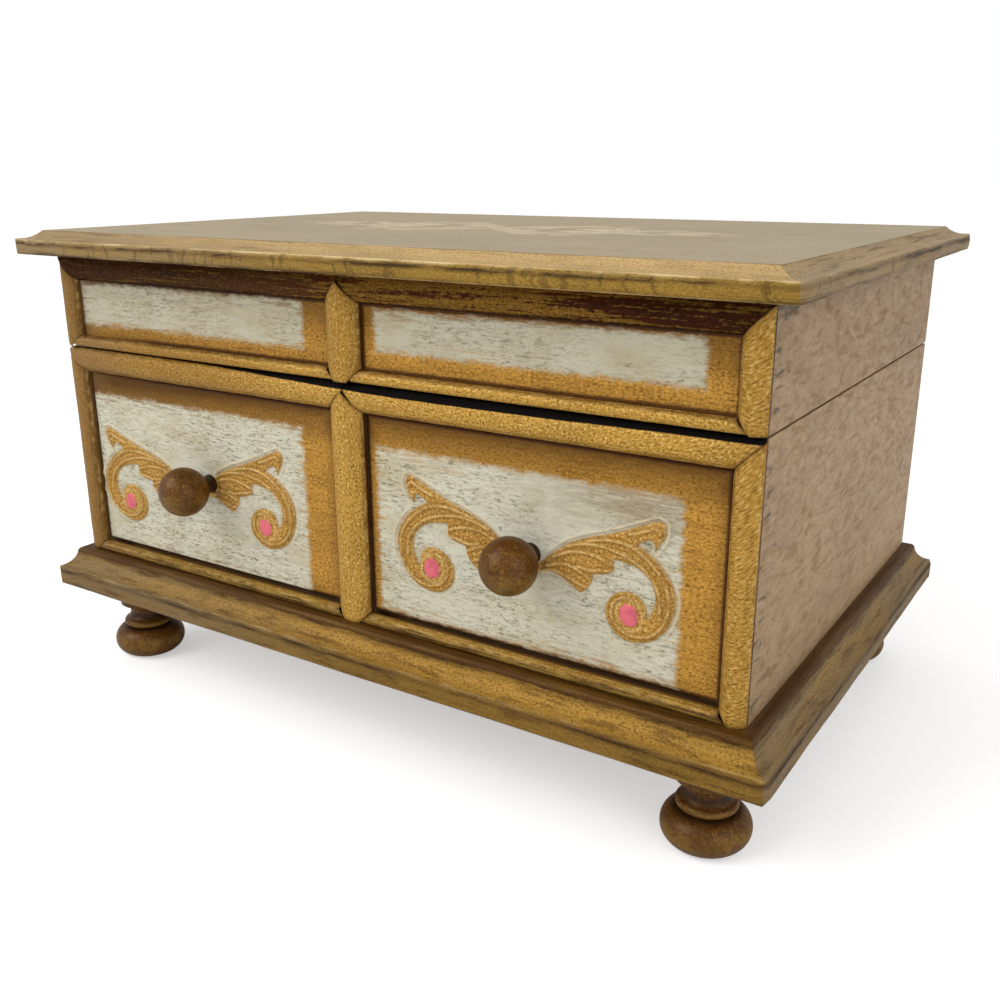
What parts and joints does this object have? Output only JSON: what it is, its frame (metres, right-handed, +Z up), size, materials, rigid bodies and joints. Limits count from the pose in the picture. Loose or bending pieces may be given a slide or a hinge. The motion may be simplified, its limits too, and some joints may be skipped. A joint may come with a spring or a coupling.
{
  "type": "musical jewelry box",
  "caption": "Painted wooden musical jewelry box on turned feet, with a hinged moulded lid and mirror, a lined tray, drawers with ball knobs, and a wind-up comb movement.",
  "frame": {"origin": "centre of the bounding box at the height of the floor under the feet", "axes": "+Z up, +X to the right as the drawers are faced, +Y to the back where the lid is hinged"},
  "size_m": [0.216, 0.15, 0.1242],
  "materials": {
    "gilt_wood": "worn gold paint over carved wood",
    "worn_wood": "dark paint with worn gold",
    "side_wood": "dull bronze paint, grained",
    "top_wood": "pale bronze paint with a faint painted motif",
    "dark_wood": "brown stain, satin",
    "plain_wood": "bare wood",
    "velvet": "short pile",
    "brass": "satin",
    "steel": "brushed",
    "mirror": "silvered glass"
  },
  "bodies": {
    "case": {"back_wall": "side_wood", "base_board": "gilt_wood", "centre_partition": "plain_wood", "drawer_runners": "plain_wood", "foot_back_left": "dark_wood", "foot_back_right": "dark_wood", "foot_front_left": "dark_wood", "foot_front_right": "dark_wood", "front_bottom_rails": "worn_wood", "front_muntin": "gilt_wood", "front_rail": "worn_wood", "front_stiles": "gilt_wood", "front_top_rails": "gilt_wood", "governor_frame": "brass", "hinge_case_leaves": "brass", "hinge_case_screws": "brass", "hinge_pins": "brass", "movement_bedplate": "steel", "movement_screws": "steel", "rear_partition": "plain_wood", "ring_rolls": "velvet", "side_walls": "side_wood", "stop_rod_guide": "plain_wood", "tone_comb": "steel", "tray_floor": "plain_wood", "tray_lining": "velvet"},
    "lid": {"lid_slab": "top_wood", "lid_side_walls": "side_wood", "lid_back_wall": "side_wood", "lid_front_board": "gilt_wood", "lid_stiles": "gilt_wood", "lid_muntin": "gilt_wood", "lid_bottom_rails": "gilt_wood", "lid_top_rails": "worn_wood", "mirror": "mirror", "mirror_frame": "velvet", "lid_lining": "velvet", "stop_striker": "plain_wood", "hinge_lid_leaves": "brass", "hinge_lid_screws": "brass"},
    "drawer_left": {"drawer_left_front": "gilt_wood", "drawer_left_box": "plain_wood", "drawer_left_lining": "velvet", "drawer_left_knob": "dark_wood", "drawer_left_knob_screw": "steel"},
    "drawer_right": {"drawer_right_front": "gilt_wood", "drawer_right_box": "plain_wood", "drawer_right_lining": "velvet", "drawer_right_knob": "dark_wood", "drawer_right_knob_screw": "steel"},
    "key": {"winding_arbor": "steel", "winding_key": "brass"},
    "barrel": {"spring_barrel": "brass", "mainspring": "steel"},
    "cylinder": {"tune_cylinder": "brass"},
    "idler": {"governor_idler": "brass"},
    "fan": {"governor_fan": "steel"},
    "stop": {"stop_rod": "steel"}
  },
  "joints": [
    {"name": "lid_hinge", "type": "hinge", "parent": "case", "child": "lid", "pos_m": [0, 0.06957, 0.09295], "axis": [-1, 0, 0], "range_deg": [0, 100]},
    {"name": "drawer_left_slide", "type": "slide", "parent": "case", "child": "drawer_left", "axis": [0, -1, 0], "range_m": [0, 0.06]},
    {"name": "drawer_right_slide", "type": "slide", "parent": "case", "child": "drawer_right", "axis": [0, -1, 0], "range_m": [0, 0.06]},
    {"name": "key_turn", "type": "hinge", "parent": "case", "child": "key", "pos_m": [0.022, 0.04838, 0.023], "axis": [0, 0, 1], "continuous": true},
    {"name": "cylinder_spin", "type": "hinge", "parent": "case", "child": "cylinder", "pos_m": [0.0361, 0.04838, 0.05291], "axis": [1, 0, 0], "continuous": true},
    {"name": "barrel_spin", "type": "hinge", "parent": "case", "child": "barrel", "pos_m": [0.022, 0.04838, 0.0391], "axis": [0, 0, 1], "continuous": true},
    {"name": "idler_spin", "type": "hinge", "parent": "case", "child": "idler", "pos_m": [0.059, 0.04058, 0.05742], "axis": [1, 0, 0], "continuous": true},
    {"name": "fan_spin", "type": "hinge", "parent": "case", "child": "fan", "pos_m": [0.0657, 0.03498, 0.05742], "axis": [0, 0, 1], "continuous": true},
    {"name": "stop_rise", "type": "slide", "parent": "case", "child": "stop", "axis": [0, 0, 1], "range_m": [0, 0.004]}
  ],
  "couplings": [
    {"joint": "barrel_spin", "follows": "cylinder_spin", "ratio": 0.4},
    {"joint": "idler_spin", "follows": "cylinder_spin", "ratio": -4},
    {"joint": "fan_spin", "follows": "cylinder_spin", "ratio": -32},
    {"joint": "stop_rise", "follows": "lid_hinge", "m_per_rad": 0.0022895}
  ]
}
